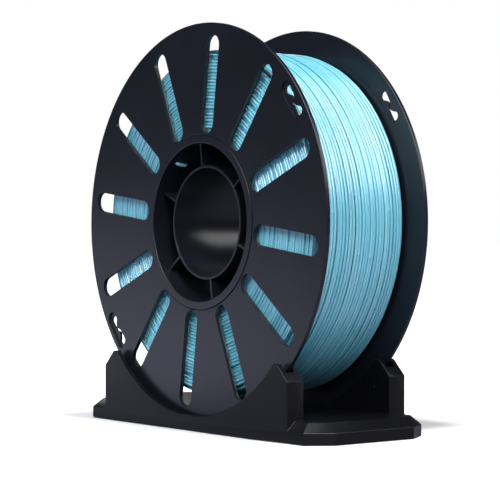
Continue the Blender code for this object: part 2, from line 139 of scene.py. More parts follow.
def rounded(corners, radii, steps=4):
    """A closed outline with each corner replaced by an arc of its own radius.

    The arc's centre lies on the corner's bisector, and its points are a spherical blend between the
    two tangent points: (sin((1-k) f) s + sin(k f) e) / sin f.
    """
    corners = np.asarray(corners, float)
    radii = np.broadcast_to(np.asarray(radii, float), (len(corners),))[:, None]
    back = np.roll(corners, 1, 0) - corners
    ahead = np.roll(corners, -1, 0) - corners
    back /= np.linalg.norm(back, axis=1, keepdims=True)
    ahead /= np.linalg.norm(ahead, axis=1, keepdims=True)
    half = np.arccos(np.clip((back * ahead).sum(1, keepdims=True), -1, 1)) / 2
    bisector = (back + ahead) / np.linalg.norm(back + ahead, axis=1, keepdims=True)
    centre = corners + bisector * radii / np.sin(half)
    first = corners + back * radii / np.tan(half) - centre
    last = corners + ahead * radii / np.tan(half) - centre
    sweep = (math.pi - 2 * half)[:, :, None]
    k = np.linspace(0, 1, steps + 1)[None, :, None]
    arc = np.sin((1 - k) * sweep) * first[:, None] + np.sin(k * sweep) * last[:, None]
    arc = arc / np.sin(sweep)
    return (centre[:, None] + arc).reshape(-1, 2)


def turned_grid(profile, segments, centre=(0.0, AXIS)):
    """A closed (radius, y) profile turned about Y: (r cos a, y, r sin a) round a centre."""
    profile = np.asarray(profile, float)
    angle = np.arange(segments)[:, None] * TURN / segments
    radius, y = profile[:, 0][None], profile[:, 1][None]
    return np.stack([centre[0] + radius * np.cos(angle), y + 0 * angle,
                     centre[1] + radius * np.sin(angle)], -1)


def turned(name, profile, segments, material, body, centre=(0.0, AXIS)):
    """A turned piece."""
    grid = turned_grid(profile, segments, centre)
    faces = grid_faces(segments, grid.shape[1], True, True)
    return piece_from(name, grid, faces, material, body)


def depth(side, into):
    """Y of a plane that lies a depth inside the spool's outer face."""
    return side * (HALF_WIDTH - into)


# ---- shader node groups --------------------------------------------------------------------------
def node_group(name, inputs, outputs):
    """An empty shader node group, with number inputs (name, value) and outputs (name, type)."""
    group = bpy.data.node_groups.new(name, "ShaderNodeTree")
    for label, value in inputs:
        socket = group.interface.new_socket(label, in_out="INPUT", socket_type="NodeSocketFloat")
        socket.default_value = value
    for label, kind in outputs:
        group.interface.new_socket(label, in_out="OUTPUT", socket_type=kind)
    return group, group.nodes.new("NodeGroupInput"), group.nodes.new("NodeGroupOutput")


def noise(tree, vector, scale, detail=2.0, roughness=0.5):
    """A noise texture; scale is a number or a socket."""
    node = tree.nodes.new("ShaderNodeTexNoise")
    node.inputs["Detail"].default_value = detail
    node.inputs["Roughness"].default_value = roughness
    if isinstance(scale, (int, float)):
        node.inputs["Scale"].default_value = scale
    else:
        tree.links.new(scale, node.inputs["Scale"])
    tree.links.new(vector, node.inputs["Vector"])
    return node.outputs["Fac"]


def ranged(tree, value, low, high, out_low, out_high):
    """Map a value from one range to another; each end is a number or a socket."""
    node = tree.nodes.new("ShaderNodeMapRange")
    tree.links.new(value, node.inputs["Value"])
    ends = (("From Min", low), ("From Max", high), ("To Min", out_low), ("To Max", out_high))
    for label, end in ends:
        if isinstance(end, (int, float)):
            node.inputs[label].default_value = end
        else:
            tree.links.new(end, node.inputs[label])
    return node.outputs["Result"]


def blend_numbers(tree, operation, first, second):
    """A math node on two numbers or sockets."""
    node = tree.nodes.new("ShaderNodeMath")
    node.operation = operation
    for socket, value in zip(node.inputs, (first, second)):
        if isinstance(value, (int, float)):
            socket.default_value = value
        else:
            tree.links.new(value, socket)
    return node.outputs["Value"]


def make_surface_grain():
    """Moulded or printed plastic: slow gloss changes, and a fine grain for the bump."""
    group, source, sink = node_group(
        "surface_grain",
        [("Patch Scale", 40.0), ("Grain Scale", 2500.0), ("Rough Low", 0.4), ("Rough High", 0.5)],
        [("Roughness", "NodeSocketFloat"), ("Grain", "NodeSocketFloat"),
         ("Patch", "NodeSocketFloat")])
    place = group.nodes.new("ShaderNodeTexCoord").outputs["Object"]
    patch = noise(group, place, source.outputs["Patch Scale"], 3.0)
    grain = noise(group, place, source.outputs["Grain Scale"], 2.0, 0.6)
    rough = ranged(group, patch, 0.3, 0.7, source.outputs["Rough Low"],
                   source.outputs["Rough High"])
    group.links.new(rough, sink.inputs["Roughness"])
    group.links.new(grain, sink.inputs["Grain"])
    group.links.new(patch, sink.inputs["Patch"])
    return group


def make_print_layers():
    """Printed layers: bands along Z whose spacing is Layer Height, broken up a little by noise."""
    group, source, sink = node_group(
        "print_layers", [("Layer Height", 0.2 * MM), ("Unevenness", 0.35)],
        [("Height", "NodeSocketFloat"), ("Line", "NodeSocketFloat")])
    place = group.nodes.new("ShaderNodeTexCoord").outputs["Object"]
    split = group.nodes.new("ShaderNodeSeparateXYZ")
    group.links.new(place, split.inputs["Vector"])
    turns = blend_numbers(group, "DIVIDE", split.outputs["Z"], source.outputs["Layer Height"])
    phase = blend_numbers(group, "MULTIPLY", turns, TURN)
    band = blend_numbers(group, "SINE", phase, 0.0)
    stretched = group.nodes.new("ShaderNodeMapping")
    stretched.inputs["Scale"].default_value = (60.0, 60.0, 2200.0)
    group.links.new(place, stretched.inputs["Vector"])
    uneven = noise(group, stretched.outputs["Vector"], 1.0, 2.0)
    part = blend_numbers(group, "MULTIPLY", uneven, source.outputs["Unevenness"])
    height = blend_numbers(group, "ADD", blend_numbers(group, "MULTIPLY", band, 0.5), part)
    group.links.new(height, sink.inputs["Height"])
    group.links.new(uneven, sink.inputs["Line"])
    return group


SURFACE_GRAIN = make_surface_grain()
PRINT_LAYERS = make_print_layers()


def start_material(name, roughness, specular=0.5, metallic=0.0, coat=0.0, coat_roughness=0.1):
    """A material with a Principled BSDF, and the constants on its own sockets."""
    material = bpy.data.materials.new(name)
    material.use_nodes = True
    shader = material.node_tree.nodes["Principled BSDF"]
    shader.inputs["Roughness"].default_value = roughness
    shader.inputs["Metallic"].default_value = metallic
    shader.inputs["Specular IOR Level"].default_value = specular
    shader.inputs["Coat Weight"].default_value = coat
    shader.inputs["Coat Roughness"].default_value = coat_roughness
    return material, material.node_tree, shader


def use_group(tree, group, **values):
    """Place a node group with its own input values."""
    node = tree.nodes.new("ShaderNodeGroup")
    node.node_tree = group
    for label, value in values.items():
        node.inputs[label.replace("_", " ")].default_value = value
    return node


def two_tone(tree, factor, dark, light):
    """Base colour between two tones."""
    ramp = tree.nodes.new("ShaderNodeValToRGB")
    ramp.color_ramp.elements[0].color = (*dark, 1)
    ramp.color_ramp.elements[1].color = (*light, 1)
    ramp.color_ramp.elements[0].position = 0.3
    ramp.color_ramp.elements[1].position = 0.7
    tree.links.new(factor, ramp.inputs["Fac"])
    return ramp.outputs["Color"]


def bump(tree, shader, height, distance, strength=1.0):
    """A bump from a height that feeds the shader's normal."""
    node = tree.nodes.new("ShaderNodeBump")
    node.inputs["Strength"].default_value = strength
    node.inputs["Distance"].default_value = distance
    tree.links.new(height, node.inputs["Height"])
    tree.links.new(node.outputs["Normal"], shader.inputs["Normal"])


def grained(name, dark, light, rough, patch=40.0, grain=2500.0, depth_of_grain=0.01 * MM,
            **constants):
    """Plastic, rubber or metal with slow gloss and tone changes and a fine grain."""
    material, tree, shader = start_material(name, rough[0], **constants)
    group = use_group(tree, SURFACE_GRAIN, Patch_Scale=patch, Grain_Scale=grain,
                      Rough_Low=rough[0], Rough_High=rough[1])
    tree.links.new(group.outputs["Roughness"], shader.inputs["Roughness"])
    tree.links.new(two_tone(tree, group.outputs["Patch"], dark, light), shader.inputs["Base Color"])
    bump(tree, shader, group.outputs["Grain"], depth_of_grain)
    return material


def printed_plastic():
    """Matte black print: layer lines on the uprights and a fine grain."""
    material, tree, shader = start_material("stand_print", 0.4, specular=0.28)
    grain = use_group(tree, SURFACE_GRAIN, Patch_Scale=30.0, Grain_Scale=1800.0,
                      Rough_Low=0.28, Rough_High=0.34)
    layers = use_group(tree, PRINT_LAYERS, Layer_Height=0.2 * MM, Unevenness=0.5)
    tree.links.new(grain.outputs["Roughness"], shader.inputs["Roughness"])
    tone = two_tone(tree, layers.outputs["Line"], (0.0038, 0.0038, 0.0048),
                    (0.0052, 0.0052, 0.0064))
    tree.links.new(tone, shader.inputs["Base Color"])
    bump(tree, shader, layers.outputs["Height"], 0.012 * MM)
    return material


def silk_filament():
    """Silk filament: a glossy strand whose tone and gloss drift slowly along its own run, with
    painted shade: a dark teal base colour in the valleys between strands and on each strand's
    underside.
    """
    material, tree, shader = start_material("silk_filament", 0.3, specular=1.0, coat=0.9,
                                            coat_roughness=0.16)
    shader.inputs["IOR"].default_value = 1.7
    run, crown = tree.nodes.new("ShaderNodeAttribute"), tree.nodes.new("ShaderNodeAttribute")
    run.attribute_type, run.attribute_name = "GEOMETRY", STRAND_RUN
    crown.attribute_type, crown.attribute_name = "GEOMETRY", STRAND_CROWN_SHADE
    drift = tree.nodes.new("ShaderNodeTexNoise")
    drift.noise_dimensions = "1D"
    drift.inputs["Scale"].default_value = 1.7
    drift.inputs["Detail"].default_value = 3.0
    tree.links.new(run.outputs["Fac"], drift.inputs["W"])
    tone = two_tone(tree, drift.outputs["Fac"], (0.17, 0.61, 0.75), (0.30, 0.73, 0.85))
    # Painted shade: where the crown value is low, in the valleys and under the strands, the base
    # colour mixes to dark teal.
    mix = tree.nodes.new("ShaderNodeMix")
    mix.data_type = "RGBA"
    mix.inputs["A"].default_value = (0.05, 0.33, 0.45, 1)
    tree.links.new(tone, mix.inputs["B"])
    tree.links.new(ranged(tree, crown.outputs["Fac"], 0.1, 0.8, 0.0, 1.0), mix.inputs["Factor"])
    tree.links.new(mix.outputs["Result"], shader.inputs["Base Color"])
    gloss = ranged(tree, drift.outputs["Fac"], 0.3, 0.7, 0.36, 0.22)
    tree.links.new(gloss, shader.inputs["Roughness"])
    grain = use_group(tree, SURFACE_GRAIN, Patch_Scale=120.0, Grain_Scale=900.0)
    bump(tree, shader, grain.outputs["Grain"], 0.003 * MM)
    return material


STAND = printed_plastic()
SPOOL = grained("spool_moulding", (0.006, 0.007, 0.011), (0.008, 0.009, 0.014), (0.27, 0.31),
                patch=25.0, grain=1500.0, depth_of_grain=0.004 * MM)
FILAMENT = silk_filament()
STEEL = grained("bearing_steel_finish", (0.50, 0.51, 0.52), (0.60, 0.61, 0.62), (0.2, 0.3),
                patch=400.0, grain=6000.0, depth_of_grain=0.001 * MM, metallic=1.0)
SHIELD = grained("shield_steel_finish", (0.44, 0.44, 0.43), (0.52, 0.52, 0.51), (0.34, 0.42),
                 patch=400.0, grain=5000.0, depth_of_grain=0.002 * MM, metallic=1.0)
PIN = grained("pin_black_steel", (0.030, 0.030, 0.032), (0.045, 0.045, 0.048), (0.5, 0.6),
              patch=500.0, grain=6000.0, depth_of_grain=0.001 * MM, metallic=1.0)
RUBBER = grained("foot_rubber_finish", (0.017, 0.017, 0.017), (0.024, 0.024, 0.024), (0.8, 0.9),
                 patch=200.0, grain=3000.0, depth_of_grain=0.02 * MM)


# ---- spool flanges -------------------------------------------------------------------------------
def ring_outline(radius, segments):
    """A circle about the spool's axis in the (x, z) plane, anticlockwise."""
    angle = np.arange(segments) * TURN / segments
    return np.stack([radius * np.cos(angle), AXIS + radius * np.sin(angle)], -1)


def placed(local, angle, radius):
    """Points (t, n) along and across the rim, moved to an angle and radius about the axis."""
    along, out = local[:, 0], local[:, 1] + radius
    return np.stack([out * math.cos(angle) - along * math.sin(angle),
                     AXIS + out * math.sin(angle) + along * math.cos(angle)], -1)


def obround(length, width, steps=14):
    """A slot outline with round ends, its length along t: two half circles of width / 2."""
    sweep = np.linspace(-math.pi / 2, math.pi / 2, steps + 1)
    half = width / 2
    end = np.stack([(length - width) / 2 + half * np.cos(sweep), half * np.sin(sweep)], -1)
    return np.concatenate([end, -end])


def clip_slit(hand, lobe=2.5 * MM, lobe_place=6.4 * MM, half_slit=0.8 * MM, swing=1.3 * MM,
              bend=1.3 * MM, neck=2 * MM, flare=1.3):
    """An S-shaped slit: a centre line n = -hand * swing * tanh(t / bend) faded at its ends, and a
    half width that grows from the neck, as a power of flare, to a round lobe at each end."""
    along = np.concatenate([np.linspace(0, lobe_place, 12)[:-1],
                            lobe_place + lobe * np.sin(np.linspace(0, math.pi / 2, 9))])
    along = np.concatenate([-along[:0:-1], along])
    reach = np.abs(along)
    centre = -hand * swing * np.tanh(along / bend) * (1 - np.clip(reach / lobe_place, 0, 1) ** 2)
    grow = np.clip((reach - neck) / (lobe_place - neck), 0, 1)
    width = half_slit + (lobe - half_slit) * grow ** flare
    tip = np.sqrt(np.clip(1 - ((reach - lobe_place) / lobe) ** 2, 0, 1)) * lobe
    width = np.where(reach > lobe_place, tip, width)
    line = np.stack([along, centre], -1)
    direction = np.gradient(line, axis=0)
    direction /= np.linalg.norm(direction, axis=1, keepdims=True)
    across = np.stack([-direction[:, 1], direction[:, 0]], -1) * width[:, None]
    return np.concatenate([line - across, (line + across)[-2:0:-1]])


def facing_material(outline):
    """Unit normals of an outline, to the left of its direction of travel."""
    along = np.roll(outline, -1, 0) - np.roll(outline, 1, 0)
    along /= np.linalg.norm(along, axis=1, keepdims=True)
    return np.stack([-along[:, 1], along[:, 0]], -1)


def wall_section(front, back, edge, steps=3):
    """(inset, y) rows of a wall between two faces, with a quarter-round edge at each face."""
    turn = np.linspace(0, math.pi / 2, steps + 1)
    way = 1 if back > front else -1
    first = np.stack([edge * (1 - np.sin(turn)), front + way * edge * (1 - np.cos(turn))], -1)
    last = np.stack([edge * (1 - np.cos(turn)), back - way * edge * (1 - np.sin(turn))], -1)
    return np.concatenate([first, last])


def eased(edge, level, way):
    """(inset, y) rows of a small rounded edge that starts on a face and goes into the wall."""
    return np.array([[edge, level], [edge * EDGE_MIDDLE, level + way * edge * EDGE_MIDDLE],
                     [0, level + way * edge]])


class Plate:
    """Collects walls along outlines and the flat faces between them into one closed mesh."""

    def __init__(self):
        self.points, self.faces, self.count = [], [], 0

    def wall(self, outline, section):
        """Rows of points along an outline: outline + inset * normal, at the section's y."""
        inward = facing_material(outline)
        rows = outline[None] + section[:, 0][:, None, None] * inward[None]
        level = np.broadcast_to(section[:, 1][:, None], rows.shape[:2])
        self.points.append(np.stack([rows[..., 0], level, rows[..., 1]], -1).reshape(-1, 3))
        self.faces += grid_faces(len(section), len(outline), False, True, self.count)
        first = self.count
        self.count += len(section) * len(outline)
        size = len(outline)
        return [(first, rows[0]), (first + (len(section) - 1) * size, rows[-1])]

    def flat(self, borders):
        """Fill the flat face inside the first border and outside the others."""
        number = np.concatenate([start + np.arange(len(line)) for start, line in borders])
        loops = [[Vector((x, z, 0)) for x, z in line] for _, line in borders]
        self.faces += [tuple(int(number[i]) for i in face) for face in tessellate_polygon(loops)]


def spool_flange(side_name, side):
    """A flange disc: rounded rim, sight slots on the front one, and clips with an S-shaped slit in
    a shallow recess."""
    front, back = depth(side, FACE), depth(side, FACE + THICKNESS)
    floor = depth(side, FACE + CLIP_DEPTH)
    way = -side
    plate = Plate()
    front_borders, back_borders = [], []

    def through(outline, section):
        near, far = plate.wall(outline, section)
        front_borders.append(near)
        back_borders.append(far)

    through(ring_outline(RIM, 360), wall_section(front, back, RIM_ROUND, 5))
    step = depth(side, COLLAR_DEPTH + GAP)
    hole = BARREL + GAP - (COLLAR + GAP)
    through(ring_outline(COLLAR + GAP, 240)[::-1], np.concatenate([
        eased(COLLAR_ROUND, front, way), [[0, step], [hole, step]],
        eased(COLLAR_ROUND, back, -way)[::-1] + [hole, 0]]))
    quarter_turn = np.array([[0.0, 1.0], [-1.0, 0.0]])
    turned_slot = obround(SLOT_OUT - SLOT_IN, SLOT_WIDTH) @ quarter_turn
    for number in range(SLOTS if side_name == "front" else 0):
        angle = SLOT_PHASE + TURN * number / SLOTS
        outline = placed(turned_slot, angle, (SLOT_OUT + SLOT_IN) / 2)
        through(outline[::-1], wall_section(front, back, SLOT_ROUND, 3))
    for angle, hand in CLIPS:
        recess = placed(obround(CLIP_LENGTH, CLIP_WIDTH), angle, CLIP_RADIUS)[::-1]
        section = np.concatenate([eased(CLIP_ROUND, front, way), [[0, floor]]])
        near, recess_floor = plate.wall(recess, section)
        front_borders.append(near)
        slit = placed(clip_slit(hand), angle, CLIP_RADIUS)[::-1]
        near, far = plate.wall(slit, wall_section(floor, back, SLIT_ROUND, 2))
        back_borders.append(far)
        plate.flat([recess_floor, near])
    plate.flat(front_borders)
    plate.flat(back_borders)
    flange = piece_from("flange_" + side_name, np.concatenate(plate.points), plate.faces, SPOOL,
                        "spool")
    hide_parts("spool_flange_" + side_name)
    return flat_normals(flange)


# ---- spool core ----------------------------------------------------------------------------------
def joined(piece, tool):
    """The exact union of two pieces, as the first piece's own mesh; the tool is removed."""
    modifier = piece.modifiers.new("join", "BOOLEAN")
    modifier.operation, modifier.solver, modifier.object = "UNION", "EXACT", tool
    evaluated = piece.evaluated_get(bpy.context.evaluated_depsgraph_get())
    mesh = bpy.data.meshes.new_from_object(evaluated)
    piece.modifiers.clear()
    piece.data = mesh
    bpy.data.objects.remove(tool)


def loose_piece(name, points, faces):
    """A mesh object for a Boolean, not yet finished."""
    mesh = bpy.data.meshes.new(name)
    mesh.from_pydata(np.asarray(points, float).reshape(-1, 3).tolist(), [], faces)
    piece = bpy.data.objects.new(name, mesh)
    bpy.context.scene.collection.objects.link(piece)
    shape = bmesh.new()
    shape.from_mesh(mesh)
    bmesh.ops.recalc_face_normals(shape, faces=shape.faces)
    shape.to_mesh(mesh)
    shape.free()
    return piece


def spool_core(side_name, side):
    """Half of the core: collar, barrel with its lap joint, bore tube, and six ribs between them."""
    middle = HALF_WIDTH - GAP / 2
    section = [(OPENING, 0.0), (COLLAR, 0.0), (COLLAR, COLLAR_DEPTH), (BARREL, COLLAR_DEPTH),
               (BARREL, middle)]
    edges = [0.35, 0.25, 0.1, 0.15, 0.15]
    if side > 0:
        section += [(LAP, middle), (LAP, middle + LAP_LENGTH), (OPENING, middle + LAP_LENGTH)]
    else:
        level = middle - LAP_LENGTH - GAP
        section += [(LAP + GAP, middle), (LAP + GAP, level), (OPENING, level)]
    edges += [0.15, 0.15, 0.2]
    barrel = rounded([(radius, depth(side, into)) for radius, into in section],
                     np.array(edges) * MM, 3)
    segments = 144
    grid = turned_grid(barrel, segments)
    core = loose_piece("core_" + side_name, grid, grid_faces(segments, grid.shape[1], True, True))
    meeting = HALF_WIDTH - 0.02 * MM
    tube_section = [(BORE, BORE_RECESS), (BORE + BORE_WALL, BORE_RECESS),
                    (BORE + BORE_WALL, meeting), (BORE, meeting)]
    tube = rounded([(radius, depth(side, into)) for radius, into in tube_section],
                   np.array([0.2, 0.2, 0.02, 0.02]) * MM, 3)
    grid = turned_grid(tube, segments)
    inner = loose_piece("tube", grid, grid_faces(segments, grid.shape[1], True, True))
    points, faces = [], []
    near, far = depth(side, BORE_RECESS + 0.1 * MM), depth(side, middle - LAP_LENGTH - 2 * GAP)
    for rib in range(6):
        angle = math.radians(37.2 + 60 * rib)
        box = np.array([(r, t) for r, t in ((BORE + BORE_WALL / 2, -1), (OPENING + 0.4 * MM, -1),
                                            (OPENING + 0.4 * MM, 1), (BORE + BORE_WALL / 2, 1))])
        outline = placed(np.stack([box[:, 1] * 0.6 * MM, box[:, 0]], -1), angle, 0.0)
        start = len(points) * 4
        for level in (near, far):
            points.append([(x, level, z) for x, z in outline])
        faces += [tuple(start + k for k in face) for face in (
            (0, 1, 2, 3), (7, 6, 5, 4), (0, 4, 5, 1), (1, 5, 6, 2), (2, 6, 7, 3), (3, 7, 4, 0))]
    ribs = loose_piece("ribs", points, faces)
    joined(inner, ribs)
    joined(core, inner)
    finished(core, SPOOL, "spool")
    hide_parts("spool_core_" + side_name)
    return flat_normals(core)


# ---- filament ------------------------------------------------------------------------------------
def ripple(position, random, frequencies, size):
    """A smooth random line: a sum of cosines of random phase, whose size falls with frequency."""
    frequencies = np.asarray(frequencies, float)
    phase = random.uniform(0, TURN, len(frequencies))
    weight = random.uniform(0.5, 1.0, len(frequencies)) / np.sqrt(frequencies)
    waves = np.cos(TURN * position[..., None] * frequencies + phase) * weight
    return size * waves.sum(-1) / np.sqrt((weight ** 2).sum() / 2)


def outer_strand():
    """The outer layer as one strand: a helix whose turns touch or part a little, on a grid of
    (point along the strand, point round its section)."""
    random = np.random.default_rng(41)
    turns, samples, around = 29, 180, 12
    turn = np.arange(turns)[:, None] + np.arange(samples + 1)[None] / samples
    half_run, shoulder, shoulder_run, first_turn_at = 26.4 * MM, 24.2 * MM, 2.6 * MM, 2.2
    shoulder_drop, end_drop, end_run = 1.0 * MM, 1.9 * MM, 0.12
    sink, end_slack, lift = 0.25 * MM, 0.6 * MM, 0.2 * MM
    spare = ripple(turn, random, [0.37, 0.61, 0.93, 1.31, 1.83, 2.41], 1.0)
    spare = np.clip(spare - 0.35, 0.02, 1.6) ** 1.3
    total = spare.sum(0)
    total = total - np.linspace(0, 1, samples + 1) * (total[-1] - total[0])
    spare = spare * (2 * half_run - (turns - 1) * STRAND) / total
    pitch = STRAND + spare
    first = -half_run + pitch[0, 0] * np.linspace(0, 1, samples + 1)
    y = first[None] + np.concatenate([np.zeros((1, samples + 1)), np.cumsum(pitch[:-1], 0)])
    y = np.clip(y[:, :-1].reshape(-1), -half_run - end_slack, half_run + end_slack)
    along = turn[:, :-1].reshape(-1)
    angle = along * TURN + first_turn_at
    edge = np.clip((np.abs(y) - shoulder) / shoulder_run, 0, 1)
    height = ripple(along, random, [0.43, 0.71, 1.13, 1.9, 2.7, 3.9], lift)
    tuck = np.clip(np.minimum(along, turns - along) / end_run, 0, 1)
    radius = WINDING_RIM - STRAND / 2 - sink + np.clip(height, -sink, sink)
    radius = radius - shoulder_drop * edge ** 2 - end_drop * (1 - tuck) ** 2
    round_angle = np.arange(around) * TURN / around
    out = radius[:, None] + STRAND / 2 * np.cos(round_angle)
    points = np.stack([out * np.cos(angle)[:, None], y[:, None] + STRAND / 2 * np.sin(round_angle),
                       AXIS + out * np.sin(angle)[:, None]], -1)
    rows = len(points)
    faces = grid_faces(rows, around, False, True)
    faces += [tuple(range(around)), tuple(range((rows - 1) * around, rows * around))]
    strand = piece_from("filament_outer_layer", points, faces, FILAMENT, "spool")
    # The crown value here, the cosine round the strand's section, masks the painted shade on each
    # strand's underside.
    mark_strand(strand, np.broadcast_to(along[:, None], (rows, around)),
                np.broadcast_to(np.cos(round_angle)[None], (rows, around)))
    return strand


def winding_body():
    """The layers under the outer one, as one closed surface turned about the axis. Its section runs
    down one side, across the barrel, up the other side and over the top; each strand in it is a
    half-round bump, set back by its own smooth random amount round the turn."""
    random = np.random.default_rng(7)
    segments = 180
    turn = np.arange(segments)[:, None] / segments
    across = np.array([-1.0, -0.86, -0.5, 0.0, 0.5, 0.86])
    bulge = np.sqrt(1 - (across * 0.97) ** 2)
    low, high = BARREL + GAP, WINDING_RIM - 2.6 * MM
    rows = round((high - low) / (1.62 * MM))
    pitch = (high - low) / rows
    middle = low + pitch * (np.arange(rows) + 0.5)
    edge_y = np.interp(middle, [low, 70 * MM, WINDING_RIM],
                       [WINDING_HALF - 1.5 * MM, WINDING_HALF - 1.1 * MM, 27.2 * MM])
    sides = []
    wave, spread, usual, deepest = 0.28 * MM, 0.35 * MM, 0.3 * MM, 1.1 * MM
    for side in (-1, 1):
        back_off = np.stack([ripple(turn[:, 0], random, [1, 2, 3, 4, 5, 6], wave)
                             for _ in range(rows)], 1)
        back_off += random.uniform(0, spread, rows)[None]
        back_off = np.clip(back_off + usual, 0, deepest)
        radius = middle[None, :, None] + pitch / 2 * across[None, None, :]
        y = edge_y[None, :, None] - back_off[..., None] - STRAND / 2 * (1 - bulge)[None, None, :]
        radius = np.broadcast_to(radius, y.shape)
        sides.append((radius.reshape(segments, -1), side * y.reshape(segments, -1)))
    count, top_half = 28, 26.0 * MM
    top_pitch = 2 * top_half / count
    top_y = -top_half + top_pitch * (np.arange(count) + 0.5)
    top_off = np.stack([ripple(turn[:, 0], random, [1, 2, 3, 4], 0.15 * MM)
                        for _ in range(count)], 1)
    shoulder = np.clip((np.abs(top_y) - 24 * MM) / (2 * MM), 0, 1)
    base = WINDING_RIM - STRAND - 0.5 * MM - 0.9 * MM * shoulder
    radius = base[None, :, None] - np.clip(top_off, -0.2 * MM, 0.3 * MM)[..., None] \
        - STRAND / 2 * (1 - bulge)[None, None, :]
    y = np.broadcast_to(top_y[None, :, None] + top_pitch / 2 * across[None, None, :], radius.shape)
    front_r, front_y = sides[0]
    rear_r, rear_y = sides[1]
    all_r = np.concatenate([front_r, radius.reshape(segments, -1), rear_r[:, ::-1]], 1)
    all_y = np.concatenate([front_y, y.reshape(segments, -1), rear_y[:, ::-1]], 1)
    ends = np.full((segments, 1), low)
    all_r = np.concatenate([ends, all_r, ends], 1)
    end_y = np.full((segments, 1), WINDING_HALF - 1 * MM)
    all_y = np.concatenate([-end_y, all_y, end_y], 1)
    angle = turn * TURN
    points = np.stack([all_r * np.cos(angle), all_y, AXIS + all_r * np.sin(angle)], -1)
    faces = grid_faces(segments, points.shape[1], True, True)
    body = piece_from("filament_layers", points, faces, FILAMENT, "spool")
    strand_number, strand_offset = np.arange(points.shape[1]) // len(across), 17.31
    # The crown value, the bulge across each strand and 0 at the barrel ends, masks the painted shade
    # between strands.
    crown = np.concatenate([[0.0], np.tile(bulge, (points.shape[1] - 2) // len(bulge)), [0.0]])
    mark_strand(body, turn + strand_offset * strand_number[None],
                np.broadcast_to(crown[None], all_r.shape))
    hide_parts("filament_winding")
    return body


# ---- stand ---------------------------------------------------------------------------------------
def stand_shell():
    """The stand's own shape with its faces merged flat and its free edges rounded."""
    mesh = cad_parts["stand_body"].data.copy()
    shape = bmesh.new()
    shape.from_mesh(mesh)
    bmesh.ops.remove_doubles(shape, verts=shape.verts, dist=0.002 * MM)
    bmesh.ops.dissolve_limit(shape, angle_limit=math.radians(0.5), verts=shape.verts,
                             edges=shape.edges)
    weight = shape.edges.layers.float.new("bevel_weight_edge")
    sharpest_kept, shortest_rounded = math.radians(25), 1.2 * MM
    for edge in shape.edges:
        if len(edge.link_faces) == 2 and edge.calc_face_angle() > sharpest_kept:
            edge[weight] = 1.0 if edge.calc_length() > shortest_rounded else 0.0
    shape.to_mesh(mesh)
    shape.free()
    mesh.name = "stand_shell"
    shell = finished(bpy.data.objects.new("stand_shell", mesh), STAND, "stand")
    edge_round = shell.modifiers.new("edge_round", "BEVEL")
    edge_round.limit_method = "WEIGHT"
    edge_round.width = 0.35 * MM
    edge_round.segments = 2
    edge_round.use_clamp_overlap = False
    edge_round.harden_normals = True
    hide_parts("stand_body")
    return shell


# ---- bearings, pins and feet ---------------------------------------------------------------------
CORNERS = [(side_label + "_" + end_label, side_sign)
           for side_label, side_sign in SIDES for end_label in ENDS]
RACE_BORE, INNER_RACE, RACE_HALF = 4.3 * MM, 2.35 * MM, 2.0 * MM
INNER_BORE, BALL, BALLS = 1.6 * MM, 0.75 * MM, 7
CAGE_HALF_WALL, CAGE_HALF = 0.25 * MM, 0.6 * MM


def middle_of(node_name):
    """The middle of a node's box, and half its size."""
    low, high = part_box(node_name)
    return (low + high) / 2, (high - low) / 2


def capped(name, profile, segments, material, body, centre):
    """An open (radius, y) profile turned about the Y axis, its first and last rings closed flat."""
    grid = turned_grid(profile, segments, centre)
    rows = grid.shape[1]
    faces = grid_faces(segments, rows, True, False)
    faces += [tuple(range(0, segments * rows, rows)), tuple(range(rows - 1, segments * rows, rows))]
    return piece_from(name, grid, faces, material, body)


def ball_grid(centre, radius, rings=12, around=20):
    """A ball: rings of latitude between two poles, (cos u cos v, sin u, cos u sin v) * radius."""
    up = np.linspace(-math.pi / 2, math.pi / 2, rings + 1)[1:-1, None]
    turn = np.arange(around)[None] * TURN / around
    grid = np.stack([np.cos(up) * np.cos(turn), np.sin(up) + 0 * turn,
                     np.cos(up) * np.sin(turn)], -1)
    poles = np.array([[0.0, -1.0, 0.0], [0.0, 1.0, 0.0]])
    points = np.concatenate([grid.reshape(-1, 3), poles]) * radius + np.asarray(centre)
    count = (rings - 1) * around
    faces = grid_faces(rings - 1, around, False, True)
    last = (rings - 2) * around
    faces += [(k, (k + 1) % around, count) for k in range(around)]
    faces += [(last + (k + 1) % around, last + k, count + 1) for k in range(around)]
    return points, faces


def ball_cage(corner, place):
    """The cage ring with its seven balls, joined into one closed surface."""
    pitch = (RACE_BORE + INNER_RACE) / 2
    inner, outer = pitch - CAGE_HALF_WALL, pitch + CAGE_HALF_WALL
    near, far = place.y - CAGE_HALF, place.y + CAGE_HALF
    ring = rounded([(inner, near), (outer, near), (outer, far), (inner, far)], 0.08 * MM, 2)
    segments = 84
    grid = turned_grid(ring, segments, (place.x, place.z))
    cage = loose_piece("ball_cage_" + corner, grid, grid_faces(segments, grid.shape[1], True, True))
    points, faces = [], []
    for ball in range(BALLS):
        angle = TURN * ball / BALLS
        centre = (place.x + pitch * math.cos(angle), place.y, place.z + pitch * math.sin(angle))
        ball_points, ball_faces = ball_grid(centre, BALL)
        faces += [tuple(k + len(ball_points) * ball for k in face) for face in ball_faces]
        points.append(ball_points)
    joined(cage, loose_piece("balls", np.concatenate(points), faces))
    finished(cage, STEEL, "bearing_cage_body_" + corner)
    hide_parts("bearing_cage_" + corner)


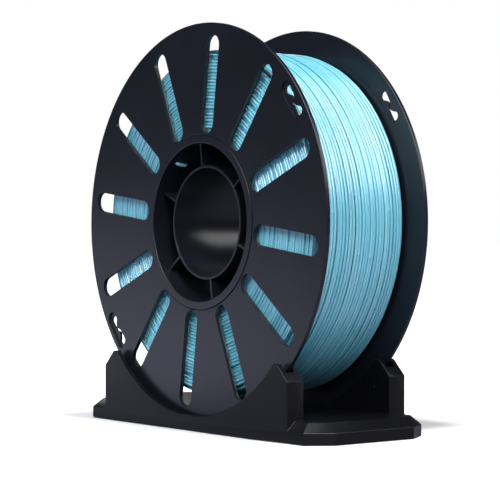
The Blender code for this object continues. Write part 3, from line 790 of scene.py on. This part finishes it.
def bearing_set(corner, side):
    """One bearing: two races with rounded corners, pressed shields, the ball cage and the pin."""
    place, reach = middle_of("bearing_outer_race_" + corner)
    centre, roller = (place.x, place.z), "bearing_roller_" + corner
    races = (("race_outer_", "bearing_outer_race_", RACE_BORE, reach.z, roller),
             ("race_inner_", "bearing_inner_race_", INNER_BORE, INNER_RACE, "stand"))
    for label, node_name, inner, outer, body in races:
        outline = rounded([(inner, place.y - RACE_HALF), (outer, place.y - RACE_HALF),
                           (outer, place.y + RACE_HALF), (inner, place.y + RACE_HALF)],
                          np.array([0.12, 0.25, 0.25, 0.12]) * MM, 4)
        race = turned(label + corner, outline, 96, STEEL, body, centre)
        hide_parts(node_name + corner)
    for label, facing in (("outer", side), ("inner", -side)):
        level = middle_of("bearing_shield_%s_%s" % (label, corner))[0].y
        face = np.array([[2.45, 0.03], [2.85, 0.03], [3.0, 0.15],
                         [3.75, 0.15], [3.9, 0.03], [4.2, 0.03]])
        back = face[::-1] - [0.0, 0.18]
        press = np.concatenate([face, back]) * MM
        outline = rounded(np.stack([press[:, 0], level + facing * press[:, 1]], -1), 0.04 * MM, 2)
        shield = turned("shield_%s_%s" % (label, corner), outline, 96, SHIELD, roller,
                        centre)
        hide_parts("bearing_shield_%s_%s" % (label, corner))
    ball_cage(corner, place)
    place, reach = middle_of("bearing_pin_" + corner)
    radius, half = reach.z, reach.y
    wide, narrow = 0.3 * MM, 0.1 * MM
    rim = [(radius - wide, -half), (radius - narrow, -half + narrow), (radius, -half + wide),
           (radius, half - wide), (radius - narrow, half - narrow), (radius - wide, half)]
    pin = capped("axle_pin_" + corner, [(r, place.y + y) for r, y in rim], 48, PIN, "stand",
                 (place.x, place.z))
    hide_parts("bearing_pin_" + corner)


def rubber_pad(corner):
    """A round foot: flat top, soft lower edge and slightly hollow sole, turned about the Z axis."""
    low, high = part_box("rubber_foot_" + corner)
    radius, tall = (high.x - low.x) / 2, high.z - low.z
    bend = np.linspace(0, math.pi / 2, 6)
    edge = np.stack([radius - 0.5 * MM * (1 - np.cos(bend)), 0.5 * MM * (1 - np.sin(bend))], -1)
    outline = np.concatenate([[(radius - 0.15 * MM, tall), (radius, tall - 0.15 * MM)], edge,
                              [(radius * 0.7, 0.0), (radius * 0.55, 0.12 * MM)]])
    segments = 72
    turn = np.arange(segments)[:, None] * TURN / segments
    middle = (low + high) / 2
    grid = np.stack([middle.x + outline[:, 0] * np.cos(turn),
                     middle.y + outline[:, 0] * np.sin(turn), low.z + outline[:, 1] + 0 * turn], -1)
    rows = len(outline)
    faces = grid_faces(segments, rows, True, False)
    faces += [tuple(range(0, segments * rows, rows)), tuple(range(rows - 1, segments * rows, rows))]
    pad = piece_from("rubber_pad_" + corner, grid, faces, RUBBER, "stand")
    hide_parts("rubber_foot_" + corner)


def filament_end():
    """The filament's inner end: a strand that comes through the barrel's wall and bends along it, a
    circle of the strand's radius carried along a quadratic curve, with a slanting cut."""
    angle, around, steps = math.radians(130), 20, 16
    start, bend, tip = np.array([[40.6, -27.4], [38.9, -27.0], [38.6, -21.6]]) * MM
    t = np.linspace(0, 1, steps)[:, None]
    line = (1 - t) ** 2 * start + 2 * t * (1 - t) * bend + t ** 2 * tip
    along = 2 * (1 - t) * (bend - start) + 2 * t * (tip - bend)
    along /= np.linalg.norm(along, axis=1, keepdims=True)
    across = np.stack([along[:, 1], -along[:, 0]], -1)
    ring = np.arange(around) * TURN / around
    slant = t ** 6 * 0.9 * MM * np.cos(ring)[None]
    flat = line[:, None] + across[:, None] * (STRAND / 2 * np.cos(ring))[None, :, None]
    flat = flat + along[:, None] * slant[..., None]
    aside = np.broadcast_to(STRAND / 2 * np.sin(ring), flat.shape[:2])
    points = np.stack([flat[..., 0] * math.cos(angle) - aside * math.sin(angle), flat[..., 1],
                       AXIS + flat[..., 0] * math.sin(angle) + aside * math.cos(angle)], -1)
    faces = grid_faces(steps, around, False, True)
    faces += [tuple(range(around)), tuple(range((steps - 1) * around, steps * around))]
    end = piece_from("filament_inner_end", points, faces, FILAMENT, "spool")
    mark_strand(end, np.broadcast_to(t * 0.02, (steps, around)), np.ones((steps, around)))


# ---- build the pieces ----------------------------------------------------------------------------
stand_shell()
for side_label, side_sign in SIDES:
    spool_flange(side_label, side_sign)
    spool_core(side_label, side_sign)
outer_strand()
winding_body()
filament_end()
for corner_label, corner_side in CORNERS:
    bearing_set(corner_label, corner_side)
    rubber_pad(corner_label)


# ---- floor, light and camera ---------------------------------------------------------------------
def studio_floor():
    """A wide pale floor at ground level. Away from the object it glows, for the camera only: painted
    light that whitens the floor beyond a box round the shadows.
    """
    size, level = 40.0, 0.0
    mesh = bpy.data.meshes.new("studio_floor")
    mesh.from_pydata([(-size, -size, level), (size, -size, level), (size, size, level),
                      (-size, size, level)], [], [(0, 1, 2, 3)])
    floor = bpy.data.objects.new("studio_floor", mesh)
    bpy.context.scene.collection.objects.link(floor)
    material = bpy.data.materials.new("floor_paper")
    material.use_nodes = True
    tree = material.node_tree
    tree.nodes.clear()
    seen, lit = tree.nodes.new("ShaderNodeBsdfDiffuse"), tree.nodes.new("ShaderNodeBsdfDiffuse")
    seen.inputs["Color"].default_value = (0.69, 0.69, 0.69, 1)
    lit.inputs["Color"].default_value = FLOOR_BOUNCE
    glow, total = tree.nodes.new("ShaderNodeEmission"), tree.nodes.new("ShaderNodeAddShader")
    place = tree.nodes.new("ShaderNodeTexCoord").outputs["Object"]
    split, joint = tree.nodes.new("ShaderNodeSeparateXYZ"), tree.nodes.new("ShaderNodeCombineXYZ")
    tree.links.new(place, split.inputs["Vector"])
    # Painted light: no glow in a box under the stand's left part and behind it, where the shadows
    # fall, and full glow from 42 mm past that box.
    for axis, middle, half in (("X", -30 * MM, 75 * MM), ("Y", 25 * MM, 55 * MM)):
        offset = blend_numbers(tree, "SUBTRACT", split.outputs[axis], middle)
        away = blend_numbers(tree, "ABSOLUTE", offset, 0.0)
        beyond = blend_numbers(tree, "MAXIMUM", blend_numbers(tree, "SUBTRACT", away, half), 0.0)
        tree.links.new(beyond, joint.inputs[axis])
    reach = tree.nodes.new("ShaderNodeVectorMath")
    reach.operation = "LENGTH"
    tree.links.new(joint.outputs["Vector"], reach.inputs[0])
    glow_strength = ranged(tree, reach.outputs["Value"], 8 * MM, 42 * MM, 0.0, 0.9)
    tree.links.new(glow_strength, glow.inputs["Strength"])
    path, mix = tree.nodes.new("ShaderNodeLightPath"), tree.nodes.new("ShaderNodeMixShader")
    sink = tree.nodes.new("ShaderNodeOutputMaterial")
    tree.links.new(seen.outputs["BSDF"], total.inputs[0])
    tree.links.new(glow.outputs["Emission"], total.inputs[1])
    tree.links.new(path.outputs["Is Camera Ray"], mix.inputs["Fac"])
    tree.links.new(lit.outputs["BSDF"], mix.inputs[1])
    tree.links.new(total.outputs["Shader"], mix.inputs[2])
    tree.links.new(mix.outputs["Shader"], sink.inputs["Surface"])
    mesh.materials.append(material)


def soft_light(name, place, target, width, height, power, colour=(1, 1, 1)):
    """An area light that looks at a target."""
    light = bpy.data.lights.new(name, "AREA")
    light.shape, light.size, light.size_y = "RECTANGLE", width, height
    light.energy, light.color = power, colour
    holder = bpy.data.objects.new(name, light)
    bpy.context.scene.collection.objects.link(holder)
    holder.location = place
    holder.rotation_euler = (Vector(target) - Vector(place)).to_track_quat("-Z", "Y").to_euler()
    return holder


def studio_world():
    """White behind the object, and a dimmer even light round it."""
    world = bpy.data.worlds.new("studio_world")
    bpy.context.scene.world = world
    world.use_nodes = True
    tree = world.node_tree
    tree.nodes.clear()
    seen = tree.nodes.new("ShaderNodeBackground")
    seen.inputs["Color"].default_value = (1, 1, 1, 1)
    seen.inputs["Strength"].default_value = 1.0
    lit = tree.nodes.new("ShaderNodeBackground")
    lit.inputs["Color"].default_value = (0.82, 0.85, 1.0, 1)
    lit.inputs["Strength"].default_value = 0.065
    path = tree.nodes.new("ShaderNodeLightPath")
    mix = tree.nodes.new("ShaderNodeMixShader")
    sink = tree.nodes.new("ShaderNodeOutputWorld")
    tree.links.new(path.outputs["Is Camera Ray"], mix.inputs["Fac"])
    tree.links.new(lit.outputs["Background"], mix.inputs[1])
    tree.links.new(seen.outputs["Background"], mix.inputs[2])
    tree.links.new(mix.outputs["Shader"], sink.inputs["Surface"])


def studio_camera():
    """A long lens at the level of the spool's axis, to the right of the front flange."""
    data = bpy.data.cameras.new("studio_camera")
    data.lens, data.sensor_width = 132.16, 36.0
    camera = bpy.data.objects.new("studio_camera", data)
    bpy.context.scene.collection.objects.link(camera)
    camera.location = (0.74567, -0.57426, 0.09441)
    yaw, pitch, roll = 0.914, -0.004, -0.001
    camera.rotation_mode = "XYZ"
    camera.rotation_euler = (math.pi / 2 + pitch, roll, yaw)
    bpy.context.scene.camera = camera


studio_floor()
studio_world()
studio_camera()
COOL = (0.78, 0.79, 1.0)
soft_light("top_softbox", (0.35, -0.35, 1.2), (0, 0, 0.1), 0.7, 0.7, 2.4)
soft_light("right_softbox", (0.95, -0.5, 0.85), (0, 0, 0.12), 0.35, 0.8, 12.5)
soft_light("rear_strip", (0.95, 0.85, 0.8), (0, 0, 0.12), 0.22, 0.6, 3.0)
soft_light("back_fill", (-1.4, 0.5, 0.9), (0, 0, 0.1), 0.8, 0.8, 6.0)
soft_light("front_softbox", (0.25, -1.2, 1.0), (0, 0, 0.1), 0.5, 0.5, 12.0, (0.84, 0.91, 1.0))
soft_light("left_card", (-0.5, -0.3, 0.06), (0, 0, 0.03), 0.3, 0.12, 0.06, COOL)
soft_light("floor_card", (-0.44, -0.4, 0.001), (-0.44, -0.4, 1.0), 0.62, 0.6, 1.0, COOL)
sun = bpy.data.lights.new("even_daylight", "SUN")
sun.energy, sun.angle = 1.0, math.radians(35)
sky = bpy.data.objects.new("even_daylight", sun)
bpy.context.scene.collection.objects.link(sky)
sky.rotation_euler = (math.radians(15), math.radians(8), 0)
bpy.context.scene.view_settings.view_transform = "Standard"
